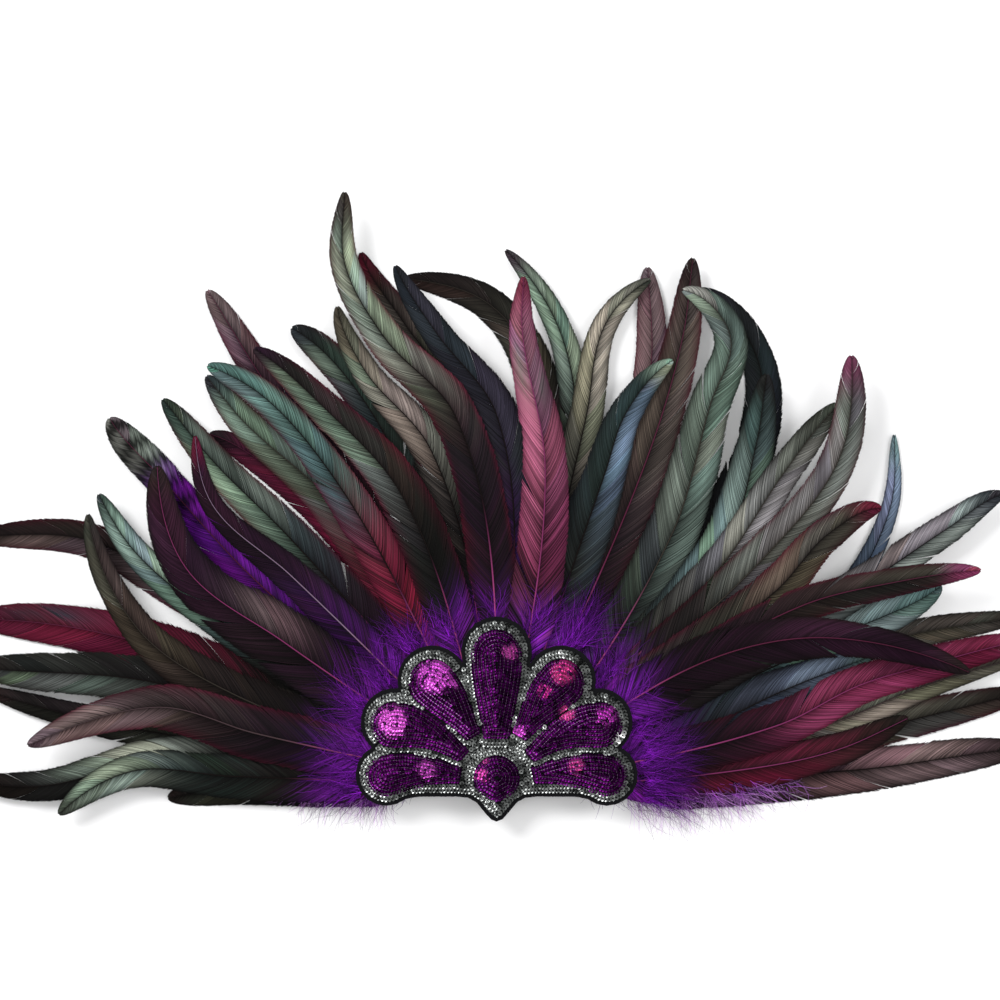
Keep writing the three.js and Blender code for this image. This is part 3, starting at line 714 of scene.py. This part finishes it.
def add_sequins(build, places, height, tilt, lean, tints):
    """tilt raises the leading edge of each sequin and lean rolls it across its row, in radians."""
    forward = np.column_stack([places[:, 2:], np.zeros(len(places))])
    side = np.column_stack([-places[:, 3], places[:, 2], np.zeros(len(places))])
    up = np.array([0.0, 0.0, 1.0])
    along = forward * np.cos(tilt)[:, None] + up * np.sin(tilt)[:, None]
    normal = up * np.cos(tilt)[:, None] - forward * np.sin(tilt)[:, None]
    across = side * np.cos(lean)[:, None] + normal * np.sin(lean)[:, None]
    normal = normal * np.cos(lean)[:, None] - side * np.sin(lean)[:, None]
    turn = np.linspace(0.0, 2 * math.pi, SEQUIN_SIDES, endpoint=False)
    radii = np.array([SEQUIN_HOLE, 0.62 * SEQUIN_RADIUS, SEQUIN_RADIUS])
    rises = np.array([0.0, 0.12 * SEQUIN_CUP, SEQUIN_CUP])
    ring_x = radii[:, None] * np.cos(turn)
    ring_y = radii[:, None] * np.sin(turn)
    centre = np.column_stack([places[:, :2], height])
    points = (
        centre[:, None, None]
        + along[:, None, None] * ring_x[None, ..., None]
        + across[:, None, None] * ring_y[None, ..., None]
        + normal[:, None, None] * np.broadcast_to(rises[:, None], ring_x.shape)[None, ..., None]
    )
    cells = max(1, math.ceil(math.sqrt(len(places))))
    order = np.arange(len(places))
    cell = np.stack([order % cells, order // cells], -1) + 0.5
    spot = np.stack([ring_x, ring_y], -1) / SEQUIN_RADIUS * 0.42
    build.grid(points, tints[:, None, None], (cell[:, None, None] + spot[None]) / cells, closed=True)


def add_threads(build, places, height, rng):
    """The stitch that crosses each sequin from its hole towards the next one."""
    count = len(places)
    angle = np.arctan2(places[:, 3], places[:, 2])
    still = np.zeros(count)
    points = strand_grid(
        places[:, :2] - 0.2 * places[:, 2:], angle, np.full(count, THREAD_LENGTH), still, still,
        np.full(count, THREAD_WIDTH), height, np.full(count, 0.5),
    )
    tints = np.array(THREAD_TINT) * rng.uniform(0.2, 1.2, count)[:, None]
    build.grid(points, tints[:, None, None], np.full((count, 1, 1, 2), 0.999))


# Places where the sequins lie flat and face the light, and where their tint is raised to a painted glint: x,
# y, radius and the colour of that painted glint
HOT_COLUMNS = "x y reach colour".split()
PURPLE_PAINTED_GLINTS = [
    (-39, 66, 12, (0.60, 0.08, 0.58)),
    (-30, 60, 6, (0.50, 0.06, 0.48)),
    (-64, 39, 11, (0.66, 0.10, 0.60)),
    (-44, 10, 7, (0.34, 0.05, 0.32)),
    (38, 68, 9, (0.42, 0.03, 0.16)),
    (27, 57, 5, (0.34, 0.02, 0.16)),
    (40, 44, 6, (0.50, 0.05, 0.22)),
    (64, 42, 8, (0.34, 0.03, 0.32)),
    (46, 12, 6, (0.32, 0.03, 0.16)),
    (11, 33, 5, (0.42, 0.05, 0.40)),
    (6, 80, 6, (0.32, 0.04, 0.22)),
    (-10, 17, 4, (0.45, 0.05, 0.26)),
    (-11, 7, 5, (0.50, 0.05, 0.30)),
]
# painted glint colour of the silver sequins that lie flat
SILVER_PAINTED_GLINT = (0.9, 0.9, 0.9)
SILVER_SPOTS = [
    (-58, 46, 5), (-40, 72, 4), (9, 34, 6), (33, 38, 10), (72, 29, 5), (24, 63, 3), (38, 80, 3), (-8, 37, 3),
]
SILVER_PAINTED_GLINTS = [(*spot, SILVER_PAINTED_GLINT) for spot in SILVER_SPOTS]


def flat_and_painted_glint(places, painted_glint_spots):
    """How flat each sequin lies, and the painted glint colour that its tint is blended to there."""
    flat = np.zeros(len(places))
    colour = np.zeros((len(places), 3))
    for row in painted_glint_spots:
        spot = dict(zip(HOT_COLUMNS, row))
        apart = np.hypot(places[:, 0] - spot["x"], places[:, 1] - spot["y"])
        share = 1.0 - smooth(0.45 * spot["reach"], spot["reach"], apart)
        stronger = share > flat
        flat = np.where(stronger, share, flat)
        colour = np.where(stronger[:, None], np.array(spot["colour"]), colour)
    return flat, colour


def sequin_piece(name, places, bottom, base, painted_glint_spots, rng, material, threads):
    """A piece of single sequins at the places of their rows."""
    flat, colour = flat_and_painted_glint(places, painted_glint_spots)
    count = len(places)
    flat = flat * (rng.uniform(size=count) < 0.85)
    tilt = np.radians(rng.normal(21, 4, count)) * (1 - flat) + np.radians(rng.normal(4, 4, count)) * flat
    lean = np.radians(rng.normal(0, 5, count))
    tints = np.array(base) * rng.uniform(0.4, 1.5, count)[:, None]
    # painted glint: the tint of the sequins that lie flat is blended towards a bright glint colour
    tints = mix(tints, colour, flat)
    height = np.full(count, bottom + SEQUIN_LIFT) + rng.uniform(-0.06, 0.06, count)
    build = Build()
    add_sequins(build, places, height, tilt, lean, tints)
    if threads:
        add_threads(build, places, height + THREAD_LIFT, rng)
    return build.piece(name, material)


# Felt plates: the rings of the soft edge lie at insets, at shares of the thickness less drops
FELT_STEP = 1.1
FELT_INSETS = np.array([0.45, 0.08, 0.0, 0.0, 0.12, 0.5])
FELT_SHARES = np.array([0.0, 0.2, 0.5, 1.0, 1.0, 1.0])
FELT_DROPS = np.array([0.0, 0.0, 0.0, 0.55, 0.15, 0.0])
FELT_TINT = (0.005, 0.005, 0.006)
PAD_TOP = 2.0


def plate_mesh(build, outline, bottom, top, rng, tint):
    """The soft edge of a felt plate, as rings from its underside to its top; returns the points in a ring."""
    even = resample(outline, FELT_STEP)
    normal = inward(even)[1]
    even = even + normal * rng.uniform(-0.10, 0.10, len(even))[:, None]
    levels = FELT_SHARES * (top - bottom) - FELT_DROPS
    rings = even[None] + normal[None] * FELT_INSETS[:, None, None]
    height = np.broadcast_to((bottom + levels)[:, None], rings.shape[:2])
    points = np.concatenate([rings, height[..., None]], -1)[None]
    span_x = np.ptp(even[:, 0])
    places = (rings - even.min(axis=0)) / span_x
    build.grid(points, np.array(tint), places[None], closed=True)
    return len(even)


def close_plate(piece, count):
    """Closes the two faces of a felt plate whose rings have so many points."""
    mesh = bmesh.new()
    mesh.from_mesh(piece.data)
    mesh.verts.ensure_lookup_table()
    loops = [mesh.verts[:count], mesh.verts[-count:]]
    for loop in loops:
        for corners in tessellate_polygon([[vert.co for vert in loop]]):
            mesh.faces.new([loop[i] for i in corners])
    bmesh.ops.recalc_face_normals(mesh, faces=mesh.faces)
    for face in mesh.faces:
        face.smooth = abs(face.normal.z) < 0.98
    mesh.to_mesh(piece.data)
    mesh.free()


def node_link(material, source, socket, target):
    """Links an output to a named input of a node."""
    material.node_tree.links.new(source, target.inputs[socket])


def new_material(name, roughness, metallic):
    """A material whose base colour is the tint of the mesh."""
    material = bpy.data.materials.new(name)
    material.use_nodes = True
    shader = material.node_tree.nodes["Principled BSDF"]
    shader.inputs["Roughness"].default_value = roughness
    shader.inputs["Metallic"].default_value = metallic
    tint = material.node_tree.nodes.new("ShaderNodeVertexColor")
    tint.layer_name = "tint"
    node_link(material, tint.outputs["Color"], "Base Color", shader)
    return material, shader


def add_bump(material, shader, scale, strength, depth):
    """Fine uneven relief from noise."""
    nodes = material.node_tree.nodes
    place = nodes.new("ShaderNodeTexCoord")
    noise = nodes.new("ShaderNodeTexNoise")
    noise.inputs["Scale"].default_value = scale
    noise.inputs["Detail"].default_value = 4.0
    bump = nodes.new("ShaderNodeBump")
    bump.inputs["Strength"].default_value = strength
    bump.inputs["Distance"].default_value = depth
    node_link(material, place.outputs["Object"], "Vector", noise)
    node_link(material, noise.outputs["Fac"], "Height", bump)
    node_link(material, bump.outputs["Normal"], "Normal", shader)
    return noise


def add_barbs(material, shader):
    """Single barbs: light and dark lines that follow the barb value of the mesh."""
    nodes = material.node_tree.nodes
    barb = nodes.new("ShaderNodeAttribute")
    barb.attribute_name = "barb"
    noise = nodes.new("ShaderNodeTexNoise")
    noise.noise_dimensions = "1D"
    noise.inputs["Scale"].default_value = 0.85
    noise.inputs["Detail"].default_value = 3.0
    noise.inputs["Roughness"].default_value = 0.75
    depth = nodes.new("ShaderNodeMapRange")
    depth.inputs["From Min"].default_value = 0.30
    depth.inputs["From Max"].default_value = 0.66
    depth.inputs["To Min"].default_value = 0.08
    depth.inputs["To Max"].default_value = 1.75
    blend = nodes.new("ShaderNodeMix")
    blend.data_type = "RGBA"
    blend.blend_type = "MULTIPLY"
    blend.inputs["Factor"].default_value = 1.0
    bump = nodes.new("ShaderNodeBump")
    bump.inputs["Strength"].default_value = 0.5
    bump.inputs["Distance"].default_value = 0.0002
    tint = next(node for node in nodes if node.type == "VERTEX_COLOR")
    links = material.node_tree.links
    links.new(barb.outputs["Fac"], noise.inputs["W"])
    links.new(noise.outputs["Fac"], depth.inputs["Value"])
    # a Mix node takes its two colours at inputs 6 and 7 and gives their blend at output 2
    links.new(tint.outputs["Color"], blend.inputs[6])
    links.new(depth.outputs["Result"], blend.inputs[7])
    links.new(blend.outputs[2], shader.inputs["Base Color"])
    links.new(noise.outputs["Fac"], bump.inputs["Height"])
    links.new(bump.outputs["Normal"], shader.inputs["Normal"])
    return noise


def vary_roughness(material, shader, noise, low, high):
    """Lets the roughness follow a noise."""
    spread = material.node_tree.nodes.new("ShaderNodeMapRange")
    spread.inputs["To Min"].default_value = low
    spread.inputs["To Max"].default_value = high
    node_link(material, noise.outputs["Fac"], "Value", spread)
    node_link(material, spread.outputs["Result"], "Roughness", shader)


# Materials; a bump is its scale, strength and depth
SEQUIN_BUMP = (900.0, 0.08, 0.0002)
FELT_BUMP = (1600.0, 0.8, 0.0006)
feather_look, feather_shader = new_material("feather_vane", 0.42, 0.0)
feather_noise = add_barbs(feather_look, feather_shader)
vary_roughness(feather_look, feather_shader, feather_noise, 0.32, 0.52)
feather_shader.inputs["Specular IOR Level"].default_value = 0.04

down_look, down_shader = new_material("feather_down", 0.75, 0.0)
down_shader.inputs["Specular IOR Level"].default_value = 0.1

silver_look, silver_shader = new_material("silver_sequin", 0.24, 1.0)
silver_noise = add_bump(silver_look, silver_shader, *SEQUIN_BUMP)
vary_roughness(silver_look, silver_shader, silver_noise, 0.18, 0.34)

purple_look, purple_shader = new_material("purple_sequin", 0.18, 1.0)
purple_noise = add_bump(purple_look, purple_shader, *SEQUIN_BUMP)
vary_roughness(purple_look, purple_shader, purple_noise, 0.24, 0.40)

felt_look, felt_shader = new_material("black_felt", 0.95, 0.0)
felt_shader.inputs["Specular IOR Level"].default_value = 0.1
felt_noise = add_bump(felt_look, felt_shader, *FELT_BUMP)
vary_roughness(felt_look, felt_shader, felt_noise, 0.85, 1.0)

# Feathers
feathers = [Feather(row) for row in FEATHERS]
lay(feathers)
down = {"left": Build(), "mid": Build(), "right": Build()}
for order, feather in enumerate(feathers):
    rng = np.random.default_rng(FEATHER_SEED + order)
    build = Build()
    twist = rng.uniform((0.0, 2.0), (6.0, 7.0))
    add_vane(build, feather, 1, rng, twist)
    add_vane(build, feather, -1, rng, twist)
    add_rachis(build, feather)
    name = feather.row["name"]
    settle(build.piece(f"plume_{name}", feather_look), "feather", f"feather_{name}")
    add_down(down[name.split("_")[0]], feather, rng, DOWN_STRANDS)

# Down
tuft_rng = np.random.default_rng(DOWN_SEED)
for row in TUFTS:
    add_strands(down["left" if row[0] < 0 else "right"], row, TUFT_LIFT, TUFT_TINT, TUFT_TIP, tuft_rng)
for row in WISPS:
    add_strands(down["left" if row[0] < 0 else "right"], row, WISP_LIFT, WISP_TINT, WISP_TIP, tuft_rng)
for part, build in down.items():
    settle(build.piece(f"down_{part}", down_look), "feather")

# Felt plates
felt_rng = np.random.default_rng(FELT_SEED)
palmette = outline_of("applique_felt")
felt_low, felt_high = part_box("applique_felt")
felt_build = Build()
felt_ring = plate_mesh(
    felt_build, palmette, felt_low.z / MM, felt_high.z / MM, felt_rng, FELT_TINT,
)
felt_piece = felt_build.piece("felt_palmette", felt_look)
close_plate(felt_piece, felt_ring)
settle(felt_piece, "felt", "applique_felt")

pad_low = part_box("back_pad")[0]
pad_build = Build()
pad_ring = plate_mesh(
    pad_build, outline_of("back_pad"), pad_low.z / MM, PAD_TOP, felt_rng, FELT_TINT,
)
pad_piece = pad_build.piece("felt_pad", felt_look)
close_plate(pad_piece, pad_ring)
settle(pad_piece, "felt", "back_pad")

# Sequins
PETAL_NODES = [
    "petal_top", "petal_upper_left", "petal_upper_right", "petal_mid_left", "petal_mid_right",
    "petal_low_left", "petal_low_right", "gem",
]
sequin_rng = np.random.default_rng(SEQUIN_SEED)
petal_outlines = {}
for node in PETAL_NODES:
    outline = outline_of(node)
    petal_outlines[node] = outline
    rows = []
    distance = FIRST_ROW
    while True:
        row = row_inside(outline, distance, SEQUIN_PITCH)
        if len(row) < 2:
            break
        rows.append(row)
        distance += ROW_PITCH
    places = np.concatenate(rows)
    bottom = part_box(node)[0].z / MM
    piece = sequin_piece(
        f"sequins_{node}", places, bottom, PURPLE_TINT, PURPLE_PAINTED_GLINTS, sequin_rng, purple_look, True,
    )
    settle(piece, "purple_sequins", node)

trim_places = [row_inside(palmette, distance, TRIM_PITCH) for distance in TRIM_ROWS]
felt_rim_points = resample(palmette, 0.5)
petal_rims = np.concatenate([resample(petal_outlines[node], 0.5) for node in PETAL_NODES])
for distance in BESIDE_PETALS:
    for node in ["gem"] + PETAL_NODES[:-1]:
        row = row_inside(petal_outlines[node], -distance, TRIM_PITCH)
        clear = nearest(row, np.concatenate(trim_places)) > TRIM_APART
        clear &= nearest(row, petal_rims) > PETAL_CLEAR
        clear &= nearest(row, felt_rim_points) > EDGE_CLEAR
        clear &= inside_any(row, [palmette]) & ~inside_any(row, petal_outlines.values())
        trim_places.append(row[clear])
trim_places = np.concatenate(trim_places)
trim_piece = sequin_piece(
    "sequins_trim", trim_places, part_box("silver_trim")[0].z / MM, SILVER_TINT, SILVER_PAINTED_GLINTS,
    sequin_rng, silver_look, False,
)
settle(trim_piece, "silver_sequins", "silver_trim")

# Floor, light and camera
FLOOR_HALF = 4.0
FLOOR_DROP = 0.0003
floor_mesh = bpy.data.meshes.new("floor")
floor_mesh.from_pydata(
    [(FLOOR_HALF * x, FLOOR_HALF * y, 0) for x, y in ((-1, -1), (1, -1), (1, 1), (-1, 1))],
    [], [(0, 1, 2, 3)],
)
floor = bpy.data.objects.new("floor", floor_mesh)
floor.location.z = -FLOOR_DROP
floor_look = bpy.data.materials.new("pale_floor")
floor_look.use_nodes = True
floor_shader = floor_look.node_tree.nodes["Principled BSDF"]
floor_shader.inputs["Base Color"].default_value = (0.90, 0.90, 0.905, 1.0)
floor_shader.inputs["Roughness"].default_value = 0.9
floor_mesh.materials.append(floor_look)
bpy.context.scene.collection.objects.link(floor)

WORLD_STRENGTH = 0.62
world = bpy.data.worlds.new("studio")
world.use_nodes = True
world.node_tree.nodes["Background"].inputs["Color"].default_value = (1.0, 1.0, 1.0, 1.0)
world.node_tree.nodes["Background"].inputs["Strength"].default_value = WORLD_STRENGTH
bpy.context.scene.world = world

VIEW_CENTRE = (0.0, 0.171, 0.012)
LIGHTS = [
    ("overhead", (0.0, 0.25, 2.5), 0.4, 8.0),
    ("key", (-1.3, 1.25, 1.5), 0.9, 36.0),
    ("fill", (1.5, 0.6, 1.3), 0.9, 14.0),
]
for name, place, size, power in LIGHTS:
    lamp = bpy.data.lights.new(name, "AREA")
    lamp.size = size
    lamp.energy = power
    lamp_object = bpy.data.objects.new(name, lamp)
    lamp_object.location = place
    aim = lamp_object.location - floor.location
    aim.y -= VIEW_CENTRE[1]
    lamp_object.rotation_euler = aim.to_track_quat("Z", "Y").to_euler()
    bpy.context.scene.collection.objects.link(lamp_object)

LENS = 100.0
SENSOR = 36.0
SEEN_WIDTH = 0.6
camera_data = bpy.data.cameras.new("camera")
camera_data.lens = LENS
camera_data.sensor_width = SENSOR
camera = bpy.data.objects.new("camera", camera_data)
camera.location = (VIEW_CENTRE[0], VIEW_CENTRE[1], VIEW_CENTRE[2] + SEEN_WIDTH * LENS / SENSOR)
bpy.context.scene.collection.objects.link(camera)
bpy.context.scene.camera = camera
bpy.context.scene.view_settings.view_transform = "Standard"
